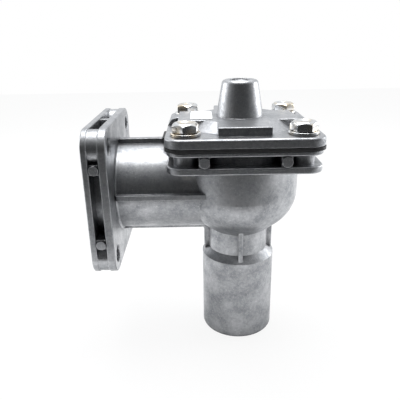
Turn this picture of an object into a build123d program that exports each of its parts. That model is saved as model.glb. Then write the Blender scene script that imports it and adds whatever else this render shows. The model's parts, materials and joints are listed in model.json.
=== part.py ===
from build123d import *
import math
import os

os.makedirs("parts", exist_ok=True)

# Right-angle pulse jet valve, millimetres.
# Origin: centre of the inlet flange's mounting face. +X runs from the inlet to
# the valve axis, +Z up to the cover. The outlet spigot points down.

# Main layout
axis_distance = 63.4
parting_height = 22.4
spigot_drop = 73.75
quarter_turn = 90.0
fit_touch = 0.01

# Inlet flange, two plates with a cored gap between them
inlet_size = 62.2
inlet_corner = 8.0
inlet_face_plate = 2.5
inlet_gap = 4.0
inlet_back_plate = 3.3
inlet_hub_dia = 50.0
inlet_bolt_edge = 7.6
inlet_hole_dia = 7.2
inlet_hole_break = 0.4
inlet_boss_dia = 14.2
inlet_pillar_edge = 15.1
inlet_web = 3.3
inlet_root_round = 1.0

# Inlet pipe
pipe_dia = 39.0
inlet_bore_dia = 33.0
pipe_web_height = 2.1
pipe_web_width = 3.2
pipe_side_rib_height = 2.0
pipe_side_rib_width = 2.2
pipe_side_rib_rise = 0.75
pipe_side_rib_round = 1.6

# Body flange, two plates with a cored gap between them
body_size = 62.0
body_corner = 6.5
body_top_plate = 2.0
body_gap = 4.4
body_bottom_plate = 2.8
bolt_edge = 7.8
bolt_boss_dia = 10.0

# Rounded plate edges, and the pillars and round ejector pads across the gaps
plate_round = 0.55
pillar_width = 4.2
pillar_edge = 15.0
pillar_setback = 0.9
pad_room = 0.1
pad_proud = 0.2

# Bowl, neck and outlet spigot
bowl_dia = 52.8
bowl_wall = 3.0
bowl_straight_below_axis = 1.8
bowl_turn_radius = 18.0
bowl_cone_angle = 50.0
neck_dia = 27.6
neck_length = 10.4
neck_rib_width = 2.1
neck_rib_reach = 16.2
neck_rib_round = 0.5
neck_web_round = 1.3
shoulder_height = 2.9
spigot_dia = 34.0
spigot_bore_dia = 28.4
spigot_edge = 0.8

# Seat tube
throat_dia = 22.8
seat_tube_dia = 27.8
seat_nose = 0.9

# Seals
diaphragm_thickness = 1.24
diaphragm_dish = 6.0
diaphragm_inner_radius = 15.2
diaphragm_outer_radius = 21.6
diaphragm_land_width = 2.4
diaphragm_proud = 0.2
tab_length = 13.6
tab_offset = -3.0
tab_proud = 1.8
tab_root = 2.0
tab_corner = 0.9
o_ring_cord = 2.6
o_ring_centre_dia = 40.6
o_ring_room = 0.05

# Cover
cover_overhang = 0.5
cover_corner = 6.5
cover_plate = 3.9
cover_edge_round = 1.1
cover_foot_round = 0.45
cover_form_round = 0.45
cover_raise = 3.55
dome_top_dia = 37.2
dome_washer_gap = 2.3
arm_width = 22.6
arm_left_edge = 4.8
arm_right_edge = 5.2
arm_ramp_length = 3.4
arm_ramp_drop = 1.9
pad_width = 20.8
pad_edge = 4.7
lug_width = 8.2
lug_radius = 4.4
lug_setback = 0.15
cover_cavity_dia = 44.0
cover_cavity_room = 3.4
pilot_boss_height = 15.05
pilot_boss_base_dia = 20.4
pilot_boss_top_dia = 15.2
pilot_boss_round = 1.6
pilot_port_dia = 8.8
pilot_port_depth = 8.2
pilot_passage_dia = 5.0
spring_pocket_dia = 15.2
spring_pocket_height = 10.8

# Moving core, clamped through the middle of the diaphragm
core_lift = 5.0
seat_gap = 0.2
seat_disc_dia = 29.2
seat_disc_thickness = 2.5
clamp_plate_dia = 19.6
clamp_plate_thickness = 1.2
top_plate_dia = 25.0
top_plate_thickness = 1.2
top_plate_rim = 1.6
core_shank_dia = 5.0
core_hole_room = 0.05
core_head_flats = 8.0
core_head_height = 3.5
core_tip = 1.0
core_nut_height = 4.0
core_washer_dia = 9.2
core_washer_thickness = 1.2

# Return spring
spring_wire = 1.2
spring_mean_dia = 12.4
spring_turns = 6.5
spring_end_room = 0.1

# Cover bolts and washers
bolt_dia = 6.0
bolt_length = 16.0
bolt_head_flats = 9.6
bolt_head_height = 3.8
bolt_hole_dia = 6.6
tapped_hole_room = 0.05
bolt_tip_chamfer = 0.8
head_chamfer_angle = 30.0
sides = 6
washer_dia = 12.0
washer_thickness = 1.3
washer_room = 0.2

# Blank label on the left arm
label_length = 19.0
label_width = 9.4
label_thickness = 0.2
label_offset = 16.8
label_corner = 1.0

# Places and levels that follow from the sizes above
cover_size = body_size + 2 * cover_overhang
sheet_size = cover_size + 2 * diaphragm_proud
bolt_pitch = body_size - 2 * bolt_edge
pillar_pitch = body_size - 2 * pillar_edge
inlet_bolt_pitch = inlet_size - 2 * inlet_bolt_edge
inlet_pillar_pitch = inlet_size - 2 * inlet_pillar_edge
dome_base_radius = math.hypot(bolt_pitch, bolt_pitch) / 2 - washer_dia / 2 - dome_washer_gap
pad_reach = cover_size / 2 - pad_edge
arm_left = cover_size / 2 - arm_left_edge
arm_right = cover_size / 2 - arm_right_edge
lug_reach = cover_size / 2 - lug_setback
pipe_radius = pipe_dia / 2
inlet_thickness = inlet_face_plate + inlet_gap + inlet_back_plate
body_thickness = body_top_plate + body_gap + body_bottom_plate
cover_seat = parting_height + diaphragm_thickness
plate_top = cover_seat + cover_plate
raised_top = plate_top + cover_raise
pilot_top = raised_top + pilot_boss_height
diaphragm_centre = parting_height - diaphragm_dish
diaphragm_land = diaphragm_outer_radius + diaphragm_land_width
top_plate_level = diaphragm_centre + diaphragm_thickness
seat_disc_level = diaphragm_centre - seat_disc_thickness
clamp_plate_level = seat_disc_level - clamp_plate_thickness
core_washer_level = top_plate_level + top_plate_thickness
core_nut_level = core_washer_level + core_washer_thickness
core_hole_radius = core_shank_dia / 2 + core_hole_room
seat_height = seat_disc_level - seat_gap
spring_foot = top_plate_level + top_plate_thickness
cover_cavity_height = spring_foot + top_plate_rim + core_lift + cover_cavity_room - cover_seat
spring_head = cover_seat + spring_pocket_height
washer_level = plate_top
head_level = washer_level + washer_thickness
bowl_radius = bowl_dia / 2
neck_radius = neck_dia / 2
spigot_radius = spigot_dia / 2


def level(height):
    """Horizontal plane on the valve axis at the given height."""
    return Plane(origin=(axis_distance, 0, height))


def across(depth):
    """Plane parallel to the inlet face, with its normal along the pipe."""
    return Plane(origin=(depth, 0, 0), x_dir=(0, 1, 0), z_dir=(1, 0, 0))


def plate(foot, size, corner, thickness, foot_round, top_round):
    """Square plate standing on a plane, with its outer edges rounded."""
    with BuildPart(mode=Mode.PRIVATE) as slab:
        with BuildSketch(foot):
            RectangleRounded(size, size, corner)
        extrude(amount=thickness)
        upward = Axis(foot.origin, foot.z_dir)
        fillet(slab.faces().sort_by(upward)[0].edges(), radius=foot_round)
        fillet(slab.faces().sort_by(upward)[-1].edges(), radius=top_round)
    return slab.part


def end_lug():
    """Lug from the left arm down to the plate's edge, with a quarter-round end."""
    with BuildPart(mode=Mode.PRIVATE) as lug:
        with BuildSketch(section):
            with BuildLine():
                crest = Line((-dome_top_dia / 2, raised_top), (lug_radius - lug_reach, raised_top))
                end = JernArc(start=crest @ 1, tangent=(-1, 0), radius=lug_radius,
                              arc_size=quarter_turn)
                Polyline(end @ 1, (-lug_reach, cover_seat), (-dome_top_dia / 2, cover_seat), crest @ 0)
            make_face()
        extrude(amount=lug_width / 2, both=True)
        fillet(lug.edges().filter_by(GeomType.CIRCLE), radius=cover_form_round)
    return lug.part


valve_axis = Axis((axis_distance, 0, 0), (0, 0, 1))
pipe_axis = Axis((0, 0, 0), (1, 0, 0))
section = Plane(origin=(axis_distance, 0, 0), x_dir=(1, 0, 0), z_dir=(0, -1, 0))
pipe_section = Plane(origin=(0, 0, 0), x_dir=(1, 0, 0), z_dir=(0, -1, 0))


def bowl_foot(radius, turn, stop_radius):
    """Height at which the bowl's cone reaches stop_radius."""
    slope = math.radians(bowl_cone_angle)
    turn_end_radius = radius - turn * (1 - math.cos(slope))
    turn_end_height = -bowl_straight_below_axis - turn * math.sin(slope)
    return turn_end_height - (turn_end_radius - stop_radius) / math.tan(slope)


neck_top = bowl_foot(bowl_radius, bowl_turn_radius, neck_radius)
neck_bottom = neck_top - neck_length
shoulder_bottom = neck_bottom - shoulder_height
rib_start = neck_top + bowl_wall
chamber_radius = bowl_radius - bowl_wall
chamber_turn = bowl_turn_radius - bowl_wall
chamber_floor = bowl_foot(chamber_radius, chamber_turn, seat_tube_dia / 2)

# Valve body: one casting with the inlet flange, pipe, bowl, neck and spigot
with BuildPart() as valve_body:
    # Bowl, neck and spigot, turned about the valve axis
    with BuildSketch(section):
        with BuildLine():
            wall = Polyline((0, parting_height), (bowl_radius, parting_height),
                            (bowl_radius, -bowl_straight_below_axis))
            turn = JernArc(start=wall @ 1, tangent=(0, -1), radius=bowl_turn_radius,
                           arc_size=-bowl_cone_angle)
            Polyline(turn @ 1, (neck_radius, neck_top), (neck_radius, neck_bottom),
                     (spigot_radius, shoulder_bottom), (spigot_radius, -spigot_drop),
                     (0, -spigot_drop), (0, parting_height))
        make_face()
    revolve(axis=valve_axis)

    # Inlet pipe and the hub behind its flange
    with BuildSketch(across(0)):
        Circle(pipe_radius)
    extrude(amount=axis_distance)
    with BuildSketch(across(0)):
        Circle(inlet_hub_dia / 2)
    extrude(amount=inlet_thickness)

    # Fillet at the root of the pipe
    with BuildSketch(pipe_section):
        with BuildLine():
            root = JernArc(start=(inlet_thickness + inlet_root_round, pipe_radius), tangent=(-1, 0),
                           radius=inlet_root_round, arc_size=-quarter_turn)
            Polyline(root @ 1, (inlet_thickness - inlet_root_round, pipe_radius + inlet_root_round),
                     (inlet_thickness - inlet_root_round, 0),
                     (inlet_thickness + inlet_root_round, 0), root @ 0)
        make_face()
    revolve(axis=pipe_axis)

    # Four ribs down the neck to the shoulder
    with BuildSketch(level(rib_start)):
        RectangleRounded(2 * neck_rib_reach, neck_rib_width, neck_rib_round)
        RectangleRounded(neck_rib_width, 2 * neck_rib_reach, neck_rib_round)
    extrude(amount=shoulder_bottom - rib_start)

    # Webs along the top and the bottom of the pipe
    pipe_run = axis_distance - inlet_thickness - chamber_radius / 2
    with BuildSketch(across(inlet_thickness)):
        Rectangle(pipe_web_width, 2 * (pipe_radius + pipe_web_height))
    extrude(amount=pipe_run)

    # Parting ribs along both sides of the pipe, their ends rounded
    with BuildSketch(Plane(origin=(inlet_thickness + pipe_run / 2, 0, pipe_side_rib_rise))):
        RectangleRounded(pipe_run, 2 * (pipe_radius + pipe_side_rib_height), pipe_side_rib_round)
    extrude(amount=pipe_side_rib_width / 2, both=True)

    # Rounded corner between the pipe's lower web and the left neck rib
    with BuildSketch(section):
        with BuildLine():
            web_foot = -pipe_radius - pipe_web_height
            corner = JernArc(start=(-neck_rib_reach - neck_web_round, web_foot), tangent=(1, 0),
                             radius=neck_web_round, arc_size=-quarter_turn)
            Polyline(corner @ 1, (-neck_radius, web_foot - neck_web_round), (-neck_radius, -pipe_radius),
                     (-neck_rib_reach - neck_web_round, -pipe_radius), corner @ 0)
        make_face()
    extrude(amount=neck_rib_width / 2, both=True)

    # Inlet flange: two square plates
    add(plate(across(0), inlet_size, inlet_corner, inlet_face_plate, plate_round, plate_round))
    add(plate(across(inlet_face_plate + inlet_gap), inlet_size, inlet_corner, inlet_back_plate,
              plate_round, plate_round))

    # Bosses, pillars and web between the inlet plates
    with BuildSketch(across(inlet_face_plate / 2)):
        with GridLocations(inlet_bolt_pitch, inlet_bolt_pitch, 2, 2):
            Circle(inlet_boss_dia / 2)
        with GridLocations(0, inlet_pillar_pitch, 1, 2):
            Rectangle(inlet_size - 2 * pillar_setback, pillar_width)
        Rectangle(inlet_web, inlet_size - 2 * pillar_setback)
    extrude(amount=inlet_gap + (inlet_face_plate + inlet_back_plate) / 2)

    # Body flange: two square plates
    add(plate(level(parting_height - body_top_plate), body_size, body_corner, body_top_plate,
              plate_round, plate_round))
    add(plate(level(parting_height - body_thickness), body_size, body_corner, body_bottom_plate,
              plate_round, plate_round))

    # Bosses and pillars between the body plates
    with BuildSketch(level(parting_height - body_top_plate / 2)):
        with GridLocations(bolt_pitch, bolt_pitch, 2, 2):
            Circle(bolt_boss_dia / 2)
        with GridLocations(pillar_pitch, 0, 2, 1):
            Rectangle(pillar_width, body_size - 2 * pillar_setback)
    extrude(amount=-body_gap - (body_top_plate + body_bottom_plate) / 2)

    # Round ejector pads on the pillars, front and rear
    pad_level = parting_height - body_top_plate - body_gap / 2
    with BuildSketch(Plane(origin=(axis_distance, 0, pad_level), x_dir=(1, 0, 0), z_dir=(0, -1, 0))):
        with GridLocations(pillar_pitch, 0, 2, 1):
            Circle(body_gap / 2 - pad_room)
    extrude(amount=body_size / 2 + pad_proud, both=True)
    with BuildSketch(Plane(origin=(inlet_face_plate + inlet_gap / 2, 0, 0), x_dir=(1, 0, 0),
                           z_dir=(0, -1, 0))):
        with GridLocations(0, inlet_pillar_pitch, 1, 2):
            Circle(inlet_gap / 2 - pad_room)
    extrude(amount=inlet_size / 2 + pad_proud, both=True)

    # Chamber inside the bowl
    with BuildSketch(section):
        with BuildLine():
            wall = Polyline((0, parting_height), (chamber_radius, parting_height),
                            (chamber_radius, -bowl_straight_below_axis))
            turn = JernArc(start=wall @ 1, tangent=(0, -1), radius=chamber_turn,
                           arc_size=-bowl_cone_angle)
            Polyline(turn @ 1, (seat_tube_dia / 2, chamber_floor), (0, chamber_floor),
                     (0, parting_height))
        make_face()
    revolve(axis=valve_axis, mode=Mode.SUBTRACT)

    # Inlet bore, through to the chamber
    with BuildSketch(across(0)):
        Circle(inlet_bore_dia / 2)
    extrude(amount=axis_distance, mode=Mode.SUBTRACT)

    # Seat tube, standing in the chamber
    with BuildSketch(section):
        with BuildLine():
            Polyline((0, neck_top), (seat_tube_dia / 2, neck_top),
                     (seat_tube_dia / 2, seat_height - 2 * seat_nose),
                     (seat_tube_dia / 2 - seat_nose, seat_height), (0, seat_height), (0, neck_top))
        make_face()
    revolve(axis=valve_axis)

    # Outlet passage: throat, then the wider spigot bore
    with BuildSketch(section):
        with BuildLine():
            Polyline((0, seat_height), (throat_dia / 2, seat_height),
                     (throat_dia / 2, neck_bottom), (spigot_bore_dia / 2, shoulder_bottom),
                     (spigot_bore_dia / 2, -spigot_drop), (0, -spigot_drop), (0, seat_height))
        make_face()
    revolve(axis=valve_axis, mode=Mode.SUBTRACT)

    # Seal groove round the inlet port
    with BuildSketch(across(0)):
        Circle((o_ring_centre_dia + o_ring_cord) / 2 + o_ring_room)
        Circle((o_ring_centre_dia - o_ring_cord) / 2 - o_ring_room, mode=Mode.SUBTRACT)
    extrude(amount=o_ring_cord + 2 * o_ring_room, mode=Mode.SUBTRACT)

    # Inlet bolt holes and the tapped cover holes
    with BuildSketch(across(0)):
        with GridLocations(inlet_bolt_pitch, inlet_bolt_pitch, 2, 2):
            Circle(inlet_hole_dia / 2)
    extrude(amount=inlet_thickness, mode=Mode.SUBTRACT)
    hole_rims = valve_body.edges().filter_by(
        lambda edge: edge.geom_type == GeomType.CIRCLE and abs(edge.radius - inlet_hole_dia / 2) < fit_touch)
    chamfer(hole_rims, length=inlet_hole_break)
    with BuildSketch(level(parting_height)):
        with GridLocations(bolt_pitch, bolt_pitch, 2, 2):
            Circle(bolt_dia / 2 + tapped_hole_room)
    extrude(amount=-body_thickness, mode=Mode.SUBTRACT)

    # Rounded lower edge of the spigot
    spigot_end = valve_body.faces().sort_by(Axis.Z)[0]
    fillet(spigot_end.edges().sort_by(SortBy.LENGTH)[-1:], radius=spigot_edge)
valve_body.part.label = "valve_body"
export_step(valve_body.part, "parts/valve_body.step")

# Cover: square plate, low dome with cross arms, and the pilot boss on top
with BuildPart() as cover:
    # Left and right arms, the right one with a ramped end, and the front and rear pads
    with BuildSketch(section):
        with BuildLine():
            Polyline((-arm_left, cover_seat), (-arm_left, raised_top),
                     (arm_right - arm_ramp_length, raised_top), (arm_right, raised_top - arm_ramp_drop),
                     (arm_right, cover_seat), (-arm_left, cover_seat))
        make_face()
    extrude(amount=arm_width / 2, both=True)
    with BuildSketch(level(cover_seat)):
        Rectangle(pad_width, 2 * pad_reach)
    extrude(amount=raised_top - cover_seat)
    crest = cover.edges().filter_by(lambda edge: edge.center().Z > raised_top - arm_ramp_drop - fit_touch)
    fillet(crest, radius=cover_form_round)

    # Lug at the end of the left arm
    add(end_lug())

    # Square plate
    add(plate(level(cover_seat), cover_size, cover_corner, cover_plate, cover_foot_round,
              cover_edge_round))

    # Low dome
    with BuildSketch(section):
        with BuildLine():
            Polyline((0, cover_seat), (dome_base_radius, cover_seat), (dome_base_radius, plate_top),
                     (dome_top_dia / 2, raised_top), (0, raised_top), (0, cover_seat))
        make_face()
    revolve(axis=valve_axis)

    # Pilot boss
    with BuildSketch(section):
        with BuildLine():
            Polyline((0, cover_seat), (pilot_boss_base_dia / 2, cover_seat),
                     (pilot_boss_base_dia / 2, raised_top), (pilot_boss_top_dia / 2, pilot_top),
                     (0, pilot_top), (0, cover_seat))
        make_face()
    revolve(axis=valve_axis)
    fillet(cover.faces().sort_by(Axis.Z)[-1].edges(), radius=pilot_boss_round)

    # Chamber over the diaphragm, spring pocket, passage and tapped port
    with BuildSketch(section):
        with BuildLine():
            Polyline((0, cover_seat), (cover_cavity_dia / 2, cover_seat),
                     (cover_cavity_dia / 2, cover_seat + cover_cavity_height / 2),
                     (cover_cavity_dia / 2 - cover_cavity_height / 2, cover_seat + cover_cavity_height),
                     (spring_pocket_dia / 2, cover_seat + cover_cavity_height),
                     (spring_pocket_dia / 2, cover_seat + spring_pocket_height),
                     (pilot_passage_dia / 2, cover_seat + spring_pocket_height),
                     (pilot_passage_dia / 2, pilot_top - pilot_port_depth),
                     (pilot_port_dia / 2, pilot_top - pilot_port_depth),
                     (pilot_port_dia / 2, pilot_top), (0, pilot_top), (0, cover_seat))
        make_face()
    revolve(axis=valve_axis, mode=Mode.SUBTRACT)

    # Bolt holes
    with BuildSketch(level(cover_seat)):
        with GridLocations(bolt_pitch, bolt_pitch, 2, 2):
            Circle(bolt_hole_dia / 2)
    extrude(amount=cover_plate, mode=Mode.SUBTRACT)
cover.part.label = "cover"
export_step(cover.part, "parts/cover.step")

# Diaphragm: square rubber sheet, moulded down to a flat middle
with BuildPart() as diaphragm:
    with BuildSketch(level(parting_height)):
        RectangleRounded(sheet_size, sheet_size, cover_corner)
        Circle(diaphragm_outer_radius, mode=Mode.SUBTRACT)
        with GridLocations(bolt_pitch, bolt_pitch, 2, 2):
            Circle(bolt_hole_dia / 2, mode=Mode.SUBTRACT)
    extrude(amount=diaphragm_thickness)

    # Tab at the left edge
    tab_centre = axis_distance - sheet_size / 2 - (tab_proud - tab_root) / 2
    with BuildSketch(Plane(origin=(tab_centre, tab_offset, parting_height))):
        RectangleRounded(tab_proud + tab_root, tab_length, tab_corner)
    extrude(amount=diaphragm_thickness)

    # Moulded dish
    with BuildSketch(section):
        with BuildLine():
            Polyline((core_hole_radius, diaphragm_centre), (diaphragm_inner_radius, diaphragm_centre),
                     (diaphragm_outer_radius, parting_height), (diaphragm_land, parting_height),
                     (diaphragm_land, cover_seat), (diaphragm_outer_radius, cover_seat),
                     (diaphragm_inner_radius, diaphragm_centre + diaphragm_thickness),
                     (core_hole_radius, diaphragm_centre + diaphragm_thickness),
                     (core_hole_radius, diaphragm_centre))
        make_face()
    revolve(axis=valve_axis)
diaphragm.part.label = "diaphragm"
export_step(diaphragm.part, "parts/diaphragm.step")

# Top plate with an upturned rim
with BuildPart() as diaphragm_top_plate:
    with BuildSketch(level(top_plate_level)):
        Circle(top_plate_dia / 2)
    extrude(amount=top_plate_rim + top_plate_thickness)
    with BuildSketch(level(top_plate_level + top_plate_thickness)):
        Circle(top_plate_dia / 2 - top_plate_thickness)
    extrude(amount=top_plate_rim, mode=Mode.SUBTRACT)
    with BuildSketch(level(top_plate_level)):
        Circle(core_hole_radius)
    extrude(amount=top_plate_thickness, mode=Mode.SUBTRACT)
diaphragm_top_plate.part.label = "diaphragm_top_plate"
export_step(diaphragm_top_plate.part, "parts/diaphragm_top_plate.step")


def ring(plane, outer, inner, height):
    """Flat ring standing on a plane."""
    with BuildPart() as disc:
        with BuildSketch(plane):
            Circle(outer)
            Circle(inner, mode=Mode.SUBTRACT)
        extrude(amount=height)
    return disc


def hexagon(x, y, foot, flats, height, turned):
    """Hexagonal head with a turned chamfer; a negative height hangs down from its foot."""
    corner = flats / 2 / math.cos(math.pi / sides)
    chamfer_drop = (corner - flats / 2) * math.tan(math.radians(head_chamfer_angle))
    face = height - math.copysign(chamfer_drop, height)
    with BuildPart(mode=Mode.PRIVATE) as head:
        with BuildSketch(Plane(origin=(x, y, foot))):
            RegularPolygon(flats / 2, sides, major_radius=False, rotation=turned)
        extrude(amount=height)
        with BuildSketch(Plane(origin=(x, y, foot), x_dir=(1, 0, 0), z_dir=(0, -1, 0))):
            with BuildLine():
                Polyline((0, 0), (corner, 0), (corner, face), (flats / 2, height), (0, height), (0, 0))
            make_face()
        revolve(axis=Axis((x, y, 0), (0, 0, 1)), mode=Mode.INTERSECT)
    return head.part


# Seat disc, clamp plate and lock washer
seat_disc = ring(level(seat_disc_level), seat_disc_dia / 2, core_hole_radius, seat_disc_thickness)
seat_disc.part.label = "seat_disc"
export_step(seat_disc.part, "parts/seat_disc.step")

clamp_plate = ring(level(clamp_plate_level), clamp_plate_dia / 2, core_hole_radius,
                   clamp_plate_thickness)
clamp_plate.part.label = "clamp_plate"
export_step(clamp_plate.part, "parts/clamp_plate.step")

core_lock_washer = ring(level(core_washer_level), core_washer_dia / 2, core_hole_radius,
                        core_washer_thickness)
core_lock_washer.part.label = "core_lock_washer"
export_step(core_lock_washer.part, "parts/core_lock_washer.step")

# Core bolt, head below, and its nut
with BuildPart() as core_bolt:
    add(hexagon(axis_distance, 0, clamp_plate_level, core_head_flats, -core_head_height, 0))
    with BuildSketch(level(clamp_plate_level)):
        Circle(core_shank_dia / 2)
    extrude(amount=core_nut_level + core_nut_height + core_tip - clamp_plate_level)
    chamfer(core_bolt.faces().sort_by(Axis.Z)[-1].edges(), length=core_tip / 2)
core_bolt.part.label = "core_bolt"
export_step(core_bolt.part, "parts/core_bolt.step")

with BuildPart() as core_nut:
    add(hexagon(axis_distance, 0, core_nut_level, core_head_flats, core_nut_height, 0))
    with BuildSketch(level(core_nut_level)):
        Circle(core_hole_radius)
    extrude(amount=core_nut_height, mode=Mode.SUBTRACT)
core_nut.part.label = "core_nut"
export_step(core_nut.part, "parts/core_nut.step")

# Return spring with ground ends
with BuildPart() as return_spring:
    spring_height = spring_head - spring_foot - 2 * spring_end_room
    spring_pitch = spring_height / spring_turns
    spring_base = spring_foot + spring_end_room
    with BuildLine():
        coil = Helix(pitch=spring_pitch, height=spring_height, radius=spring_mean_dia / 2,
                     center=(axis_distance, 0, spring_base))
    with BuildSketch(Plane(origin=coil @ 0, z_dir=coil % 0)):
        Circle(spring_wire / 2)
    sweep(path=coil, is_frenet=True)
    split(bisect_by=level(spring_base), keep=Keep.TOP)
    split(bisect_by=level(spring_base + spring_height), keep=Keep.BOTTOM)
return_spring.part.label = "return_spring"
export_step(return_spring.part, "parts/return_spring.step")

# Inlet seal ring, as the header squeezes it flush
with BuildPart() as inlet_o_ring:
    with BuildSketch(pipe_section):
        with Locations((o_ring_cord / 2 + o_ring_room, o_ring_centre_dia / 2)):
            Circle(o_ring_cord / 2)
    revolve(axis=pipe_axis)
inlet_o_ring.part.label = "inlet_o_ring"
export_step(inlet_o_ring.part, "parts/inlet_o_ring.step")

# Cover bolts and washers, one of each at every corner
corners = [("front_left", -1, -1, 21), ("front_right", 1, -1, 51),
           ("rear_left", -1, 1, 30), ("rear_right", 1, 1, 37)]
for corner_name, side, depth, turned in corners:
    bolt_x = axis_distance + side * bolt_pitch / 2
    bolt_y = depth * bolt_pitch / 2
    with BuildPart() as cover_washer:
        with BuildSketch(Plane(origin=(bolt_x, bolt_y, washer_level))):
            Circle(washer_dia / 2)
            Circle(bolt_dia / 2 + washer_room, mode=Mode.SUBTRACT)
        extrude(amount=washer_thickness)
    cover_washer.part.label = f"cover_washer_{corner_name}"
    export_step(cover_washer.part, f"parts/cover_washer_{corner_name}.step")

    with BuildPart() as cover_bolt:
        add(hexagon(bolt_x, bolt_y, head_level, bolt_head_flats, bolt_head_height, turned))
        with BuildSketch(Plane(origin=(bolt_x, bolt_y, head_level))):
            Circle(bolt_dia / 2)
        extrude(amount=-bolt_length)
        chamfer(cover_bolt.faces().sort_by(Axis.Z)[0].edges(), length=bolt_tip_chamfer)
    cover_bolt.part.label = f"cover_bolt_{corner_name}"
    export_step(cover_bolt.part, f"parts/cover_bolt_{corner_name}.step")

# Blank label on the left arm
with BuildPart() as label:
    with BuildSketch(Plane(origin=(axis_distance - label_offset, 0, raised_top))):
        RectangleRounded(label_width, label_length, label_corner)
    extrude(amount=label_thickness)
label.part.label = "label"
export_step(label.part, "parts/label.step")
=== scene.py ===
"""Visual model of the right-angle pulse jet valve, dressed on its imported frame."""
import json
import logging
import math
from dataclasses import dataclass, field
from enum import Enum

import bpy
from mathutils import Matrix, Vector


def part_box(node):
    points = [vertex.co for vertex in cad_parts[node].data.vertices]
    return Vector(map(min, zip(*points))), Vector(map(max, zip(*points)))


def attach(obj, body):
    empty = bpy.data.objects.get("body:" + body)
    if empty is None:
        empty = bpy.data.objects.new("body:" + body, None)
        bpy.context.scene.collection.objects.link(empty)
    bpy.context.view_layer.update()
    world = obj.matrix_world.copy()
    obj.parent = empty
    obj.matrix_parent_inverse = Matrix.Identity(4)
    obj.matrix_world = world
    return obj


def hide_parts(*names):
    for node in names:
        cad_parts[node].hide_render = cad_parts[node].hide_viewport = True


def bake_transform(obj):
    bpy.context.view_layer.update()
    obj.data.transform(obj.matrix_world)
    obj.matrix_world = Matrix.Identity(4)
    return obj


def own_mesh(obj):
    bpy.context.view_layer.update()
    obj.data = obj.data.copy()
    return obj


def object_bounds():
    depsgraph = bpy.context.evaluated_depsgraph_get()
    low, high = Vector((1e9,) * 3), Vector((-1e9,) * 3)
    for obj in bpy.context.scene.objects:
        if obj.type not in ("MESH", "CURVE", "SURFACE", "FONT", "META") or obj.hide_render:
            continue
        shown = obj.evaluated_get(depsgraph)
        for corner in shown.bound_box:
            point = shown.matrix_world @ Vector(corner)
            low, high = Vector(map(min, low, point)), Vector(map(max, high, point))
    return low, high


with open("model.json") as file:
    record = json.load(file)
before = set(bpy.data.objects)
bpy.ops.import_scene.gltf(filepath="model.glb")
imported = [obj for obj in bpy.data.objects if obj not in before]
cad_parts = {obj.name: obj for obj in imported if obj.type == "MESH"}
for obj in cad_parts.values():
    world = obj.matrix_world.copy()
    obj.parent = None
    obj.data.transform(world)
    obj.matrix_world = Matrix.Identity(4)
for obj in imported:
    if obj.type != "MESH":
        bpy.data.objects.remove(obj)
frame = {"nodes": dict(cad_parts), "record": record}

CAD_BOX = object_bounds()
MM = 0.001
IMAGE_SIZE = 400
FULL_TURN = 2.0 * math.pi
log = logging.getLogger("pulse_valve")

Profile = list[tuple[float, float]]


def millimetres(*values: float) -> Vector:
    """Turns a point in millimetres into a vector in metres."""
    return Vector(value * MM for value in values)


class Body(Enum):
    """The two rigid bodies of the valve."""

    HOUSING = "housing"
    CORE = "diaphragm_core"


class Slot(Enum):
    """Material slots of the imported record."""

    CASTING = "cast_aluminium"
    ZINC = "zinc_steel"
    RUBBER = "black_rubber"
    STAINLESS = "stainless_steel"
    LABEL = "white_label"


@dataclass(frozen=True)
class NodeBox:
    """Lowest and highest corner of a CAD node at rest, in metres."""

    low: Vector
    high: Vector

    @classmethod
    def of(cls, name: str) -> "NodeBox":
        """Reads the box of a CAD node.

        Args:
            name: The node's name.

        Returns:
            The node's box.
        """
        low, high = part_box(name)
        return cls(Vector(low), Vector(high))

    @property
    def centre(self) -> Vector:
        """Middle of the box."""
        return (self.low + self.high) / 2

    @property
    def size(self) -> Vector:
        """Lengths of the box's sides."""
        return self.high - self.low


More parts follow.
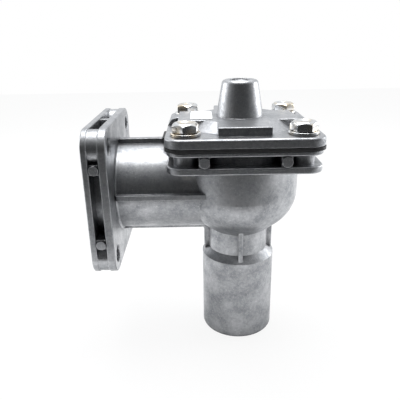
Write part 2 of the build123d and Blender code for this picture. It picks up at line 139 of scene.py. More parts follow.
class Bench:
    """Modelling moves that the sub-assemblies share, each done with operators."""

    @staticmethod
    def clear() -> None:
        """Leaves edit mode and deselects everything."""
        if bpy.context.object is not None and bpy.context.object.mode != "OBJECT":
            bpy.ops.object.mode_set(mode="OBJECT")
        bpy.ops.object.select_all(action="DESELECT")

    @staticmethod
    def pick(*objects: bpy.types.Object) -> None:
        """Selects only these objects, the first one active."""
        Bench.clear()
        for obj in objects:
            obj.select_set(True)
        bpy.context.view_layer.objects.active = objects[0]

    @staticmethod
    def settle(obj: bpy.types.Object, name: str, smooth_degrees: float = 35.0) -> bpy.types.Object:
        """Names a piece, moves its place into its mesh and shades it.

        Args:
            obj: The finished object.
            name: Its name in the scene.
            smooth_degrees: Edges flatter than this are shaded smooth.

        Returns:
            The same object.
        """
        Bench.pick(obj)
        bpy.ops.object.transform_apply(location=True, rotation=True, scale=True)
        bpy.ops.object.shade_smooth_by_angle(angle=math.radians(smooth_degrees))
        obj.name = name
        obj.data.name = name
        return obj

    @staticmethod
    def finish_with(obj: bpy.types.Object, kind: str, **settings: object) -> None:
        """Adds a modifier to an object and applies it.

        Args:
            obj: The object.
            kind: The modifier's type.
            settings: Properties of the modifier.
        """
        Bench.pick(obj)
        modifier = obj.modifiers.new(kind.lower(), kind)
        for key, value in settings.items():
            setattr(modifier, key, value)
        bpy.ops.object.modifier_apply(modifier=modifier.name)

    @staticmethod
    def carve(obj: bpy.types.Object, tool: bpy.types.Object, operation: str) -> None:
        """Applies a boolean with a tool object, which is then deleted.

        Args:
            obj: The object that is cut or joined.
            tool: The other shape.
            operation: DIFFERENCE, INTERSECT or UNION.
        """
        Bench.finish_with(obj, "BOOLEAN", operation=operation, object=tool, solver="EXACT")
        bpy.data.objects.remove(tool)

    @staticmethod
    def lathe(profile: Profile, centre: Vector, steps: int) -> bpy.types.Object:
        """Turns a profile about an upright axis.

        Args:
            profile: Radius and height pairs, in metres, upwards or round a closed section.
            centre: The axis's foot, in metres.
            steps: Sides of the turned shape.

        Returns:
            The turned object.
        """
        points = [centre + Vector((radius, 0.0, height)) for radius, height in profile]
        Bench.clear()
        bpy.ops.mesh.primitive_plane_add(size=MM, location=points[0])
        obj = bpy.context.object
        bpy.ops.object.mode_set(mode="EDIT")
        bpy.ops.mesh.select_all(action="SELECT")
        bpy.ops.mesh.merge(type="CENTER")
        for start, end in zip(points, points[1:]):
            bpy.ops.mesh.extrude_region_move(TRANSFORM_OT_translate={"value": end - start})
        bpy.ops.mesh.select_all(action="SELECT")
        bpy.ops.mesh.spin(steps=steps, angle=FULL_TURN, center=centre, axis=(0, 0, 1))
        Bench.close_up()
        return obj

    @staticmethod
    def close_up(threshold: float = 0.002 * MM) -> None:
        """Merges doubles and turns the faces outwards, then leaves edit mode."""
        bpy.ops.mesh.select_all(action="SELECT")
        bpy.ops.mesh.remove_doubles(threshold=threshold)
        bpy.ops.mesh.normals_make_consistent(inside=False)
        bpy.ops.object.mode_set(mode="OBJECT")

    @staticmethod
    def mend(obj: bpy.types.Object) -> None:
        """Merges the doubles that a boolean or a bevel left in an object."""
        Bench.pick(obj)
        bpy.ops.object.mode_set(mode="EDIT")
        Bench.close_up()

    @staticmethod
    def join(pieces: list[bpy.types.Object]) -> bpy.types.Object:
        """Joins several objects into the first one.

        Args:
            pieces: The objects.

        Returns:
            The joined object.
        """
        Bench.pick(*pieces)
        bpy.ops.object.join()
        return pieces[0]


def ridges(bore: float, crest: float, low: float, pitch: float, count: int) -> Profile:
    """Saw-tooth outline of a thread.

    Args:
        bore: Radius at the roots.
        crest: Radius at the crests.
        low: Height of the first root.
        pitch: Distance from crest to crest.
        count: Number of crests.

    Returns:
        Radius and height pairs, upwards.
    """
    outline = [(bore, low)]
    for turn in range(count):
        outline.append((crest, low + (turn + 0.5) * pitch))
        outline.append((bore, low + (turn + 1.0) * pitch))
    return outline


@dataclass
class Piece:
    """A finished piece's body and finish."""

    body: Body
    slot: Slot

    def hand_over(self, obj: bpy.types.Object, finishes: "FinishLibrary", *nodes: str) -> None:
        """Dresses a piece, rides it on its body and lets it stand for its nodes.

        Args:
            obj: The finished piece.
            finishes: The finishes to dress it with.
            nodes: CAD nodes that the piece replaces.
        """
        finishes.dress(obj, self.slot)
        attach(obj, self.body.value)
        if nodes:
            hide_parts(*nodes)
        log.info("%s rides on %s, %d faces", obj.name, self.body.value, len(obj.data.polygons))


@dataclass
class CoverFastener:
    """One hexagon bolt with an indented head, and the washer under it."""

    corner: str
    turned: float
    flats: float = 9.6 * MM
    head_height: float = 3.8 * MM
    crown_radius: float = 4.25 * MM
    chamfer_degrees: float = 40.0
    dish_floor_radius: float = 2.5 * MM
    dish_rim_radius: float = 3.5 * MM
    dish_depth: float = 0.55 * MM
    bearing_radius: float = 4.5 * MM
    bearing_drop: float = 0.25 * MM
    edge: float = 0.12 * MM
    shank_radius: float = 3.0 * MM
    thread_depth: float = 0.5 * MM
    pitch: float = 1.0 * MM
    crests: int = 9
    tip: float = 0.8 * MM
    washer_edge: float = 0.3 * MM
    steps: int = 64

    def build(self, finishes: "FinishLibrary") -> None:
        """Builds and dresses the bolt and its washer."""
        zinc = Piece(Body.HOUSING, Slot.ZINC)
        bolt_node = f"cover_bolt_{self.corner}"
        washer_node = f"cover_washer_{self.corner}"
        bolt = Bench.join([self.make_head(NodeBox.of(bolt_node)), self.make_shank(NodeBox.of(bolt_node))])
        zinc.hand_over(Bench.settle(bolt, f"bolt_{self.corner}"), finishes, bolt_node)
        washer = self.make_washer(NodeBox.of(washer_node))
        zinc.hand_over(Bench.settle(washer, f"washer_{self.corner}"), finishes, washer_node)

    def make_head(self, box: NodeBox) -> bpy.types.Object:
        """Cuts the hexagon with a turned blank, as a header and a lathe would.

        Args:
            box: The bolt node's box.

        Returns:
            The head.
        """
        corner_radius = self.flats / 2 / math.cos(math.pi / 6)
        foot = Vector((box.centre.x, box.centre.y, box.high.z - self.head_height))
        Bench.clear()
        bpy.ops.mesh.primitive_cylinder_add(vertices=6, radius=corner_radius, depth=self.head_height,
                                            location=foot + Vector((0, 0, self.head_height / 2)))
        head = bpy.context.object
        first_corner = math.atan2(head.data.vertices[0].co.y, head.data.vertices[0].co.x)
        bpy.ops.transform.rotate(value=first_corner - math.radians(self.turned), orient_axis="Z",
                                 center_override=head.location)
        outside = corner_radius + self.edge
        drop = (outside - self.crown_radius) * math.tan(math.radians(self.chamfer_degrees))
        blank = Bench.lathe([(0.0, self.head_height - self.dish_depth),
                             (self.dish_floor_radius, self.head_height - self.dish_depth),
                             (self.dish_rim_radius, self.head_height),
                             (self.crown_radius, self.head_height),
                             (outside, self.head_height - drop),
                             (outside, self.bearing_drop * 2),
                             (self.bearing_radius, 0.0),
                             (0.0, 0.0)], foot, self.steps)
        Bench.carve(head, blank, "INTERSECT")
        Bench.finish_with(head, "BEVEL", width=self.edge, segments=2, limit_method="ANGLE",
                          angle_limit=math.radians(20.0))
        Bench.mend(head)
        return head

    def make_shank(self, box: NodeBox) -> bpy.types.Object:
        """Turns the threaded shank.

        Args:
            box: The bolt node's box.

        Returns:
            The shank.
        """
        foot = Vector((box.centre.x, box.centre.y, box.low.z))
        top = box.size.z - self.head_height
        root = self.shank_radius - self.thread_depth
        outline = [(0.0, 0.0), (root - self.tip / 2, 0.0)]
        outline += ridges(root, self.shank_radius, self.tip / 2, self.pitch, self.crests)
        outline += [(self.shank_radius, self.tip + self.crests * self.pitch), (self.shank_radius, top),
                    (0.0, top)]
        return Bench.lathe(outline, foot, self.steps)

    def make_washer(self, box: NodeBox) -> bpy.types.Object:
        """Turns the flat washer with rolled edges.

        Args:
            box: The washer node's box.

        Returns:
            The washer.
        """
        foot = Vector((box.centre.x, box.centre.y, box.low.z))
        outer = box.size.x / 2
        inner = self.shank_radius + 0.2 * MM
        height = box.size.z
        section = [(inner, 0.0), (outer, 0.0), (outer, height), (inner, height), (inner, 0.0)]
        washer = Bench.lathe(section, foot, self.steps)
        Bench.finish_with(washer, "BEVEL", width=self.washer_edge, segments=3, limit_method="ANGLE",
                          angle_limit=math.radians(40.0))
        return washer


@dataclass
class PilotThread:
    """Thread inside the pilot boss's port."""

    bore_radius: float = 4.4 * MM
    wall_overlap: float = 0.1 * MM
    depth: float = 0.45 * MM
    pitch: float = 0.907 * MM
    crests: int = 8
    lead_in: float = 0.5 * MM
    steps: int = 64

    def build(self, finishes: "FinishLibrary") -> None:
        """Builds and dresses the thread ridges."""
        cover = NodeBox.of("cover")
        bolt = NodeBox.of("core_bolt")
        length = self.crests * self.pitch
        foot = Vector((bolt.centre.x, bolt.centre.y, cover.high.z - self.lead_in - length))
        back = self.bore_radius + self.wall_overlap
        outline = ridges(self.bore_radius, self.bore_radius - self.depth, 0.0, self.pitch, self.crests)
        section = outline + [(back, length), (back, 0.0), outline[0]]
        thread = Bench.lathe(section, foot, self.steps)
        Piece(Body.HOUSING, Slot.CASTING).hand_over(Bench.settle(thread, "pilot_thread", 20.0), finishes)


@dataclass
class Diaphragm:
    """Moulded rubber diaphragm: square bead outside, rolling fold, flat middle."""

    corner: float = 6.5 * MM
    thickness: float = 1.24 * MM
    fold_inner: float = 15.2 * MM
    fold_outer: float = 21.6 * MM
    land: float = 24.0 * MM
    hole_radius: float = 3.3 * MM
    bolt_edge: float = 8.5 * MM
    edge: float = 0.3 * MM
    fold_points: int = 14
    steps: int = 96

    def build(self, finishes: "FinishLibrary") -> None:
        """Builds the diaphragm, dresses it and hides its CAD node."""
        box = NodeBox.of("diaphragm")
        core = NodeBox.of("core_bolt")
        axis = Vector((core.centre.x, core.centre.y, 0.0))
        sheet = self.make_sheet(box, axis)
        fold = self.make_fold(box, axis)
        Bench.carve(sheet, fold, "UNION")
        Bench.mend(sheet)
        piece = Bench.settle(sheet, "rubber_diaphragm", 40.0)
        finishes.dress(piece, Slot.RUBBER)
        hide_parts("diaphragm")
        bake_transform(piece)
        log.info("%s bends from %s to %s", piece.name, Body.HOUSING.value, Body.CORE.value)

    def make_sheet(self, box: NodeBox, axis: Vector) -> bpy.types.Object:
        """Makes the square sheet with its tab and holes.

        Args:
            box: The diaphragm node's box.
            axis: A point on the valve axis.

        Returns:
            The sheet.
        """
        half = box.high.x - axis.x
        middle = box.high.z - self.thickness / 2
        sheet = self.make_slab(Vector((axis.x, axis.y, middle)), Vector((2 * half, 2 * half, self.thickness)),
                               self.corner)
        tab_low, tab_high = box.low.x, axis.x - half + 2.0 * MM
        tab = self.make_slab(Vector(((tab_low + tab_high) / 2, -3.0 * MM, middle)),
                             Vector((tab_high - tab_low, 13.6 * MM, self.thickness)), 0.9 * MM)
        Bench.carve(sheet, tab, "UNION")
        pitch = half - self.bolt_edge
        holes = [(axis.x, axis.y, self.land - MM)]
        holes += [(axis.x + side * pitch, axis.y + depth * pitch, self.hole_radius)
                  for side in (-1, 1) for depth in (-1, 1)]
        for x, y, radius in holes:
            Bench.clear()
            bpy.ops.mesh.primitive_cylinder_add(vertices=self.steps, radius=radius, depth=4 * self.thickness,
                                                location=(x, y, middle))
            Bench.carve(sheet, bpy.context.object, "DIFFERENCE")
        Bench.finish_with(sheet, "BEVEL", width=self.edge, segments=2, limit_method="ANGLE",
                          angle_limit=math.radians(60.0))
        return sheet

    def make_slab(self, centre: Vector, size: Vector, corner: float) -> bpy.types.Object:
        """Makes a flat block with rounded upright edges.

        Args:
            centre: Its middle.
            size: Its three lengths.
            corner: Radius of the upright edges.

        Returns:
            The block.
        """
        Bench.clear()
        bpy.ops.mesh.primitive_cube_add(size=1.0, location=centre, scale=size)
        slab = bpy.context.object
        bpy.ops.object.transform_apply(location=False, rotation=False, scale=True)
        points = slab.data.vertices
        bpy.ops.object.mode_set(mode="EDIT")
        bpy.ops.mesh.select_mode(type="EDGE")
        bpy.ops.mesh.select_all(action="DESELECT")
        bpy.ops.object.mode_set(mode="OBJECT")
        for edge in slab.data.edges:
            run = points[edge.vertices[1]].co - points[edge.vertices[0]].co
            edge.select = abs(run.z) > size.z / 2
        bpy.ops.object.mode_set(mode="EDIT")
        bpy.ops.mesh.bevel(offset=corner, segments=10)
        bpy.ops.mesh.select_mode(type="VERT")
        Bench.close_up()
        return slab

    def make_fold(self, box: NodeBox, axis: Vector) -> bpy.types.Object:
        """Turns the rolling fold and the flat middle.

        Args:
            box: The diaphragm node's box.
            axis: A point on the valve axis; not used.

        Returns:
            The turned middle.
        """
        depth = box.size.z - self.thickness
        hole = NodeBox.of("core_bolt")
        inner = 2.55 * MM
        fold = []
        for step in range(self.fold_points + 1):
            share = step / self.fold_points
            ease = share * share * (3.0 - 2.0 * share)
            fold.append((self.fold_inner + share * (self.fold_outer - self.fold_inner), ease * depth))
        lower = [(inner, 0.0)] + fold + [(self.land, depth)]
        upper = [(radius, height + self.thickness) for radius, height in reversed(lower)]
        section = lower + upper + lower[:1]
        return Bench.lathe(section, Vector((hole.centre.x, hole.centre.y, box.low.z)), self.steps)


@dataclass
class ReturnSpring:
    """Closing spring between the cover's pocket and the core."""

    wire: float = 1.2 * MM
    mean_radius: float = 6.2 * MM
    turns: float = 6.5
    wire_sides: int = 14
    steps_per_turn: int = 44
    cut_reach: float = 0.0001 * MM
    lift: float = 5.0 * MM

    def build(self, finishes: "FinishLibrary") -> None:
        """Winds the spring, grinds its ends and rides it on the housing."""
        box = NodeBox.of("return_spring")
        core = NodeBox.of("core_bolt")
        foot = Vector((core.centre.x, core.centre.y, box.low.z))
        Bench.clear()
        bpy.ops.mesh.primitive_circle_add(vertices=self.wire_sides, radius=self.wire / 2, location=foot,
                                          rotation=(math.pi / 2, 0.0, 0.0))
        coil = bpy.context.object
        bpy.ops.object.transform_apply(location=False, rotation=True, scale=False)
        bpy.ops.object.mode_set(mode="EDIT")
        bpy.ops.mesh.select_all(action="SELECT")
        bpy.ops.transform.translate(value=(self.mean_radius, 0.0, 0.0))
        bpy.ops.object.mode_set(mode="OBJECT")
        Bench.finish_with(coil, "SCREW", angle=self.turns * FULL_TURN, screw_offset=box.size.z, iterations=1,
                          steps=int(self.turns * self.steps_per_turn),
                          render_steps=int(self.turns * self.steps_per_turn))
        bpy.ops.object.mode_set(mode="EDIT")
        bpy.ops.mesh.select_all(action="SELECT")
        bpy.ops.mesh.fill_holes(sides=0)
        for level, outward in ((box.low.z, -1.0), (box.high.z, 1.0)):
            bpy.ops.mesh.select_all(action="SELECT")
            bpy.ops.mesh.bisect(plane_co=(foot.x, foot.y, level), plane_no=(0.0, 0.0, outward), use_fill=True,
                                clear_outer=True, threshold=self.cut_reach)
        Bench.close_up()
        piece = Bench.settle(coil, "closing_spring", 40.0)
        Piece(Body.HOUSING, Slot.STAINLESS).hand_over(piece, finishes, "return_spring")
        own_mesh(piece)


class ShaderGraph:
    """Adds and joins the shader nodes of a material or a world."""

    def __init__(self, owner: bpy.types.Material | bpy.types.World) -> None:
        """Starts with an empty node tree.

        Args:
            owner: The material or world that the nodes belong to.
        """
        owner.use_nodes = True
        self.owner = owner
        self.tree = owner.node_tree
        self.tree.nodes.clear()

    @classmethod
    def material(cls, name: str) -> "ShaderGraph":
        """Starts a new material."""
        return cls(bpy.data.materials.new(name))

    def add(self, kind: str, **settings: object) -> bpy.types.Node:
        """Adds a node and sets its properties.

        Args:
            kind: The node's type name, without the ShaderNode prefix.
            settings: Properties of the node to set.

        Returns:
            The new node.
        """
        node = self.tree.nodes.new("ShaderNode" + kind)
        for key, value in settings.items():
            setattr(node, key, value)
        return node

    def join(self, source: bpy.types.NodeSocket, target: bpy.types.NodeSocket) -> None:
        """Joins two sockets."""
        self.tree.links.new(source, target)

    def place(self) -> bpy.types.NodeSocket:
        """Returns the Object coordinate socket."""
        return self.add("TexCoord").outputs["Object"]

    def noise(self, grain: float, detail: float = 3.0, rough: float = 0.55,
              place: bpy.types.NodeSocket | None = None) -> bpy.types.NodeSocket:
        """Adds a noise pattern.

        Args:
            grain: Size of one spot, in metres.
            detail: Octaves of the pattern.
            rough: How strong the fine octaves are.
            place: Coordinate socket; object coordinates when left out.

        Returns:
            The pattern's value socket.
        """
        node = self.add("TexNoise")
        node.inputs["Scale"].default_value = 1.0 / grain
        node.inputs["Detail"].default_value = detail
        node.inputs["Roughness"].default_value = rough
        self.join(place or self.place(), node.inputs["Vector"])
        return node.outputs["Fac"]

    def ramp(self, value: bpy.types.NodeSocket, stops: list[tuple[float, tuple]]) -> bpy.types.NodeSocket:
        """Adds a colour ramp.

        Args:
            value: The socket that drives it.
            stops: Positions with their linear colours.

        Returns:
            The ramp's colour socket.
        """
        node = self.add("ValToRGB")
        band = node.color_ramp
        while len(band.elements) < len(stops):
            band.elements.new(0.5)
        for element, (position, colour) in zip(band.elements, stops):
            element.position = position
            element.color = (*colour, 1.0)
        self.join(value, node.inputs["Fac"])
        return node.outputs["Color"]

    def span(self, value: bpy.types.NodeSocket, low: float, high: float, start: float = 0.0,
             end: float = 1.0, easing: str = "LINEAR") -> bpy.types.NodeSocket:
        """Maps a value from start..end to low..high.

        Args:
            value: The socket to map.
            low: Result at start.
            high: Result at end.
            start: Lower end of the input.
            end: Upper end of the input.
            easing: Interpolation type of the node.

        Returns:
            The mapped value socket.
        """
        node = self.add("MapRange", interpolation_type=easing)
        node.inputs["From Min"].default_value = start
        node.inputs["From Max"].default_value = end
        node.inputs["To Min"].default_value = low
        node.inputs["To Max"].default_value = high
        self.join(value, node.inputs["Value"])
        return node.outputs["Result"]

    def maths(self, operation: str, first: bpy.types.NodeSocket,
              second: bpy.types.NodeSocket | None = None) -> bpy.types.NodeSocket:
        """Combines one or two values.

        Args:
            operation: The node's operation.
            first: First value.
            second: Second value, where the operation has one.

        Returns:
            The result's socket.
        """
        node = self.add("Math", operation=operation)
        self.join(first, node.inputs[0])
        if second is not None:
            self.join(second, node.inputs[1])
        return node.outputs["Value"]

    def blend(self, amount: bpy.types.NodeSocket | float, first: bpy.types.NodeSocket,
              second: bpy.types.NodeSocket, mode: str = "MIX") -> bpy.types.NodeSocket:
        """Mixes two colours by an amount.

        Args:
            amount: Factor, as a number or a socket.
            first: Colour at factor 0.
            second: Colour at factor 1.
            mode: Blend mode of the mix.

        Returns:
            The mixed colour socket.
        """
        node = self.add("Mix", data_type="RGBA", blend_type=mode)
        if isinstance(amount, float):
            node.inputs[0].default_value = amount
        else:
            self.join(amount, node.inputs[0])
        self.join(first, node.inputs[6])
        self.join(second, node.inputs[7])
        return node.outputs[2]

    def bump(self, height: bpy.types.NodeSocket, depth: float, strength: float = 1.0,
             normal: bpy.types.NodeSocket | None = None) -> bpy.types.NodeSocket:
        """Adds a bump and returns its normal socket.

        Args:
            height: The height pattern.
            depth: Depth of the pattern, in metres.
            strength: Share of the depth that counts.
            normal: Normal to start from.

        Returns:
            The bumped normal socket.
        """
        node = self.add("Bump")
        node.inputs["Distance"].default_value = depth
        node.inputs["Strength"].default_value = strength
        self.join(height, node.inputs["Height"])
        if normal is not None:
            self.join(normal, node.inputs["Normal"])
        return node.outputs["Normal"]

    def rounded(self, radius: float) -> bpy.types.NodeSocket:
        """Returns a normal that runs softly over edges.

        Args:
            radius: Reach of the softening, in metres.

        Returns:
            The normal socket.
        """
        node = self.add("Bevel", samples=6)
        node.inputs["Radius"].default_value = radius
        return node.outputs["Normal"]

    def edge_share(self, soft_normal: bpy.types.NodeSocket) -> bpy.types.NodeSocket:
        """Returns 1 on an edge and 0 on a flat.

        Args:
            soft_normal: The normal that runs softly over edges.

        Returns:
            The share's socket.
        """
        dot = self.add("VectorMath", operation="DOT_PRODUCT")
        self.join(soft_normal, dot.inputs[0])
        self.join(self.add("NewGeometry").outputs["Normal"], dot.inputs[1])
        return self.span(dot.outputs["Value"], 1.0, 0.0, 0.80, 0.99)

    def crevices(self, reach: float) -> bpy.types.NodeSocket:
        """Returns how open the surface is, 0 in a deep corner.

        Args:
            reach: How far the surroundings count, in metres.

        Returns:
            The openness socket.
        """
        node = self.add("AmbientOcclusion", samples=8)
        node.inputs["Distance"].default_value = reach
        return node.outputs["AO"]

    def surface(self, **values: object) -> bpy.types.Node:
        """Adds the Principled shader and the output.

        Args:
            values: Socket names, with spaces as underscores, and their values.

        Returns:
            The Principled node.
        """
        shader = self.add("BsdfPrincipled")
        for key, value in values.items():
            shader.inputs[key.replace("_", " ")].default_value = value
        self.join(shader.outputs["BSDF"], self.add("OutputMaterial").inputs["Surface"])
        return shader


@dataclass(frozen=True)
class CastAluminium:
    """Die-cast aluminium: cloudy satin skin, fine flecks, rubbed edges with a painted edge highlight, and
    painted shade in corners.
    """

    name: str = "cast_aluminium"
    dark: tuple = (0.27, 0.28, 0.295)
    light: tuple = (0.47, 0.475, 0.49)
    fleck: tuple = (0.80, 0.81, 0.83)
    # Colour that corners are darkened towards: painted shade.
    painted_shade: tuple = (0.30, 0.30, 0.31)
    full_white: tuple = (1.0, 1.0, 1.0)
    cloud: float = 7.0 * MM
    mottle: float = 1.3 * MM
    grain: float = 0.42 * MM
    edge: float = 0.30 * MM
    corner_reach: float = 4.0 * MM

    def build(self) -> bpy.types.Material:
        """Builds the material.

        Returns:
            The finished material.
        """
        graph = ShaderGraph.material(self.name)
        place = graph.place()
        cloud = graph.noise(self.cloud, 3.0, 0.5, place)
        mottle = graph.noise(self.mottle, 3.0, 0.6, place)
        grain = graph.noise(self.grain, 3.0, 0.6, place)
        tone = graph.maths("ADD", graph.span(cloud, 0.0, 0.6, 0.3, 0.7),
                           graph.span(mottle, 0.0, 0.4, 0.3, 0.7))
        colour = graph.ramp(tone, [(0.15, self.dark), (0.85, self.light)])
        fleck = graph.ramp(grain, [(0.60, (0.0,) * 3), (0.72, (0.55,) * 3)])
        colour = graph.blend(fleck, colour, graph.ramp(cloud, [(0.0, self.fleck), (1.0, self.full_white)]))
        soft = graph.rounded(self.edge)
        # Edges are brightened: partly rubbed wear, partly a painted edge highlight.
        wear_and_highlight = graph.ramp(mottle, [(0.3, self.light), (0.6, self.fleck)])
        colour = graph.blend(graph.edge_share(soft), colour, wear_and_highlight)
        # Painted shade: the colour is multiplied darker where the ambient-occlusion node finds corners and
        # gaps.
        painted_corner_shade = graph.ramp(graph.crevices(self.corner_reach), [(0.25, self.painted_shade), (0.75, self.full_white)])
        colour = graph.blend(1.0, colour, painted_corner_shade, "MULTIPLY")
        shader = graph.surface(Metallic=1.0)
        graph.join(colour, shader.inputs["Base Color"])
        graph.join(graph.span(tone, 0.46, 0.34, 0.2, 0.8), shader.inputs["Roughness"])
        normal = graph.bump(mottle, 0.05 * MM, 0.5, soft)
        normal = graph.bump(grain, 0.035 * MM, 0.6, normal)
        graph.join(normal, shader.inputs["Normal"])
        return graph.owner


@dataclass(frozen=True)
class ZincPlate:
    """Bright zinc-plated steel with a faint straw tint, and painted shade in its corners."""

    name: str = "zinc_plate"
    blue: tuple = (0.60, 0.61, 0.62)
    straw: tuple = (0.66, 0.58, 0.46)
    edge: float = 0.12 * MM

    def build(self) -> bpy.types.Material:
        """Builds the material.

        Returns:
            The finished material.
        """
        graph = ShaderGraph.material(self.name)
        place = graph.place()
        tint = graph.noise(5.0 * MM, 2.0, 0.5, place)
        smear = graph.noise(1.4 * MM, 4.0, 0.6, place)
        shader = graph.surface(Metallic=1.0)
        colour = graph.ramp(tint, [(0.42, self.blue), (0.66, self.straw)])
        # Painted shade: the colour is multiplied darker where the ambient-occlusion node finds corners and
        # gaps.
        painted_corner_shade = graph.ramp(graph.crevices(2.0 * MM), [(0.2, (0.35, 0.33, 0.30)), (0.7, (1.0, 1.0, 1.0))])
        graph.join(graph.blend(1.0, colour, painted_corner_shade, "MULTIPLY"), shader.inputs["Base Color"])
        graph.join(graph.span(smear, 0.24, 0.13, 0.3, 0.7), shader.inputs["Roughness"])
        normal = graph.bump(smear, 0.012 * MM, 0.5, graph.rounded(self.edge))
        graph.join(normal, shader.inputs["Normal"])
        return graph.owner


@dataclass(frozen=True)
class MouldedRubber:
    """Black moulded rubber with a dusty bloom."""

    name: str = "moulded_rubber"
    base: tuple = (0.010, 0.010, 0.011)
    bloom: tuple = (0.032, 0.032, 0.034)

    def build(self) -> bpy.types.Material:
        """Builds the material.

        Returns:
            The finished material.
        """
        graph = ShaderGraph.material(self.name)
        place = graph.place()
        dust = graph.noise(1.2 * MM, 4.0, 0.6, place)
        fine = graph.noise(0.4 * MM, 3.0, 0.5, place)
        shader = graph.surface()
        graph.join(graph.ramp(dust, [(0.4, self.base), (0.75, self.bloom)]), shader.inputs["Base Color"])
        graph.join(graph.span(dust, 0.50, 0.75, 0.3, 0.7), shader.inputs["Roughness"])
        graph.join(graph.bump(fine, 0.02 * MM, 0.5, graph.rounded(0.2 * MM)), shader.inputs["Normal"])
        return graph.owner


@dataclass(frozen=True)
class RolledStainless:
    """Plain rolled stainless steel of the inner plates, screw and spring."""

    name: str = "rolled_stainless"
    dull: tuple = (0.40, 0.40, 0.405)
    bright: tuple = (0.60, 0.60, 0.61)

    def build(self) -> bpy.types.Material:
        """Builds the material.

        Returns:
            The finished material.
        """
        graph = ShaderGraph.material(self.name)
        grain = graph.noise(0.9 * MM, 5.0, 0.6)
        shader = graph.surface(Metallic=1.0)
        graph.join(graph.ramp(grain, [(0.3, self.dull), (0.7, self.bright)]), shader.inputs["Base Color"])
        graph.join(graph.span(grain, 0.36, 0.22, 0.3, 0.7), shader.inputs["Roughness"])
        graph.join(graph.bump(grain, 0.01 * MM, 0.4, graph.rounded(0.15 * MM)), shader.inputs["Normal"])
        return graph.owner


@dataclass(frozen=True)
class LabelFilm:
    """Blank coated paper label."""

    name: str = "label_film"
    low: tuple = (0.78, 0.80, 0.82)
    high: tuple = (0.88, 0.885, 0.89)

    def build(self) -> bpy.types.Material:
        """Builds the material.

        Returns:
            The finished material.
        """
        graph = ShaderGraph.material(self.name)
        fibre = graph.noise(0.8 * MM, 4.0, 0.6)
        shader = graph.surface()
        graph.join(graph.ramp(fibre, [(0.3, self.low), (0.7, self.high)]), shader.inputs["Base Color"])
        graph.join(graph.span(fibre, 0.35, 0.5, 0.3, 0.7), shader.inputs["Roughness"])
        graph.join(graph.bump(fibre, 0.01 * MM, 0.3), shader.inputs["Normal"])
        return graph.owner


@dataclass
class FinishLibrary:
    """One material for each slot of the record."""

    materials: dict = field(default_factory=dict)

    def build(self) -> None:
        """Builds every finish once."""
        recipes = {Slot.CASTING: CastAluminium(), Slot.ZINC: ZincPlate(), Slot.RUBBER: MouldedRubber(),
                   Slot.STAINLESS: RolledStainless(), Slot.LABEL: LabelFilm()}
        for slot, recipe in recipes.items():
            self.materials[slot] = recipe.build()

    def dress(self, obj: bpy.types.Object, slot: Slot) -> None:
        """Gives an object the finish of a slot.

        Args:
            obj: The object to dress.
            slot: The slot whose finish it gets.
        """
        obj.data.materials.clear()
        obj.data.materials.append(self.materials[slot])


@dataclass
class FrameNodes:
    """The CAD nodes, each dressed in the finish that the record names."""

    nodes: dict = field(default_factory=lambda: dict(frame["nodes"]))

    def build(self, finishes: FinishLibrary) -> None:
        """Dresses every node."""
        slots = {part["node"]: part["material_slot"] for part in frame["record"]["subparts"]}
        for name, node in sorted(self.nodes.items()):
            finishes.dress(node, Slot(slots[name]))
            log.info("%s is dressed as %s", name, slots[name])


@dataclass
class Camera:
    """The photograph's viewpoint, from a fit of the casting's edges."""

    place: tuple = (45.545, -195.588, 66.53)
    yaw: float = 0.001
    pitch: float = 0.366
    roll: float = -0.017
    focal_pixels: float = 446.286
    centre_pixels: tuple = (200.616, 199.755)
    sensor: float = 36.0

    def build(self) -> None:
        """Creates the camera and makes it the scene's."""
        data = bpy.data.cameras.new("view")
        data.sensor_width = self.sensor
        data.lens = self.focal_pixels * self.sensor / IMAGE_SIZE
        data.shift_x = (IMAGE_SIZE / 2 - self.centre_pixels[0]) / IMAGE_SIZE
        data.shift_y = (self.centre_pixels[1] - IMAGE_SIZE / 2) / IMAGE_SIZE
        data.clip_start = 0.01
        forward = Vector((math.sin(self.yaw) * math.cos(self.pitch),
                          math.cos(self.yaw) * math.cos(self.pitch), -math.sin(self.pitch)))
        level = Vector((math.cos(self.yaw), -math.sin(self.yaw), 0.0))
        upright = level.cross(forward)
        right = math.cos(self.roll) * level + math.sin(self.roll) * upright
        up = -math.sin(self.roll) * level + math.cos(self.roll) * upright
        camera = bpy.data.objects.new("view", data)
        camera.matrix_world = Matrix((right, up, -forward)).transposed().to_4x4()
        camera.location = millimetres(*self.place)
        bpy.context.scene.collection.objects.link(camera)
        bpy.context.scene.camera = camera


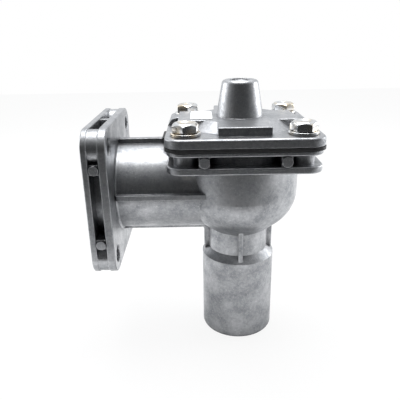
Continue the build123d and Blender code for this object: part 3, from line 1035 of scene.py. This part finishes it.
@dataclass
class Studio:
    """White table and backdrop, dark room in front, and soft lamps."""

    table_front: float = -150.0 * MM
    table_rear: float = 900.0 * MM
    table_half_width: float = 500.0 * MM
    floor_level: float = CAD_BOX[0][2]
    dark: float = 0.05
    bright: float = 1.0

    def build(self) -> None:
        """Builds the whole studio."""
        bpy.context.scene.view_settings.view_transform = "Standard"
        self.build_world()
        self.build_table()
        self.add_softbox("top", (40, 60, 520), (55, 0, 10), 380, 2.6)
        self.add_softbox("left", (-420, 160, 120), (30, 0, 0), 260, 0.9)
        self.add_softbox("right", (520, 160, 100), (63, 0, -10), 260, 0.9)

    def build_world(self) -> None:
        """Dark towards the front, bright behind, white to the camera."""
        graph = ShaderGraph(bpy.data.worlds.new("room"))
        bpy.context.scene.world = graph.owner
        axes = graph.add("SeparateXYZ")
        graph.join(graph.add("TexCoord").outputs["Generated"], axes.inputs["Vector"])
        rear = graph.span(axes.outputs["Y"], self.dark, self.bright, -0.45, 0.50, "SMOOTHSTEP")
        above = graph.span(axes.outputs["Z"], 0.0, 0.45, 0.35, 1.0, "SMOOTHSTEP")
        side = graph.span(graph.maths("ABSOLUTE", axes.outputs["X"]), 0.0, 0.25, 0.55, 1.0, "SMOOTHSTEP")
        lit = graph.add("Background")
        white = graph.add("Background")
        mix = graph.add("MixShader")
        graph.join(graph.maths("ADD", graph.maths("ADD", rear, above), side), lit.inputs["Strength"])
        graph.join(graph.add("LightPath").outputs["Is Camera Ray"], mix.inputs["Fac"])
        graph.join(lit.outputs[0], mix.inputs[1])
        graph.join(white.outputs[0], mix.inputs[2])
        graph.join(mix.outputs[0], graph.add("OutputWorld").inputs["Surface"])
        white.inputs["Color"].default_value = (1.0, 1.0, 1.0, 1.0)
        lit.inputs["Color"].default_value = (0.97, 0.985, 1.0, 1.0)

    def build_table(self) -> None:
        """White table that keeps a faint shadow and shows in the metal."""
        Bench.clear()
        bpy.ops.mesh.primitive_plane_add(size=1.0)
        table = bpy.context.object
        table.name = "table"
        table.dimensions = (2 * self.table_half_width, self.table_rear - self.table_front, 0.0)
        table.location = (CAD_BOX[1][0] / 2, (self.table_rear + self.table_front) / 2,
                          self.floor_level - 0.05 * MM)
        bpy.ops.object.transform_apply(location=True, rotation=False, scale=True)
        graph = ShaderGraph.material("white_table")
        diffuse = graph.add("BsdfDiffuse")
        diffuse.inputs["Color"].default_value = (0.86, 0.86, 0.86, 1.0)
        glow = graph.add("Emission")
        path = graph.add("LightPath")
        seen = graph.span(path.outputs["Is Camera Ray"], 0.0, 0.88)
        mirrored = graph.span(path.outputs["Is Glossy Ray"], 0.0, 0.20)
        mix = graph.add("MixShader")
        graph.join(graph.maths("ADD", seen, mirrored), mix.inputs["Fac"])
        graph.join(diffuse.outputs[0], mix.inputs[1])
        graph.join(glow.outputs[0], mix.inputs[2])
        graph.join(mix.outputs[0], graph.add("OutputMaterial").inputs["Surface"])
        table.data.materials.append(graph.owner)

    def add_softbox(self, name: str, place: tuple, target: tuple, size: float, power: float) -> None:
        """Adds one square area lamp.

        Args:
            name: The lamp's name.
            place: Its centre, in millimetres.
            target: The point it faces, in millimetres.
            size: Its side, in millimetres.
            power: Its power, in watts.
        """
        data = bpy.data.lights.new(name, "AREA")
        data.shape = "SQUARE"
        data.size = size * MM
        data.energy = power
        lamp = bpy.data.objects.new(name, data)
        lamp.location = millimetres(*place)
        direction = millimetres(*target) - lamp.location
        lamp.rotation_euler = direction.to_track_quat("-Z", "Y").to_euler()
        bpy.context.scene.collection.objects.link(lamp)


def main() -> None:
    """Builds the camera, the studio and every sub-assembly in order."""
    logging.basicConfig(level=logging.INFO, format="%(name)s: %(message)s")
    Camera().build()
    Studio().build()
    finishes = FinishLibrary()
    finishes.build()
    FrameNodes().build(finishes)
    for corner, turned in (("front_left", 21.0), ("front_right", 51.0), ("rear_left", 30.0),
                           ("rear_right", 37.0)):
        CoverFastener(corner, turned).build(finishes)
    PilotThread().build(finishes)
    Diaphragm().build(finishes)
    ReturnSpring().build(finishes)


if __name__ == "__main__":
    main()
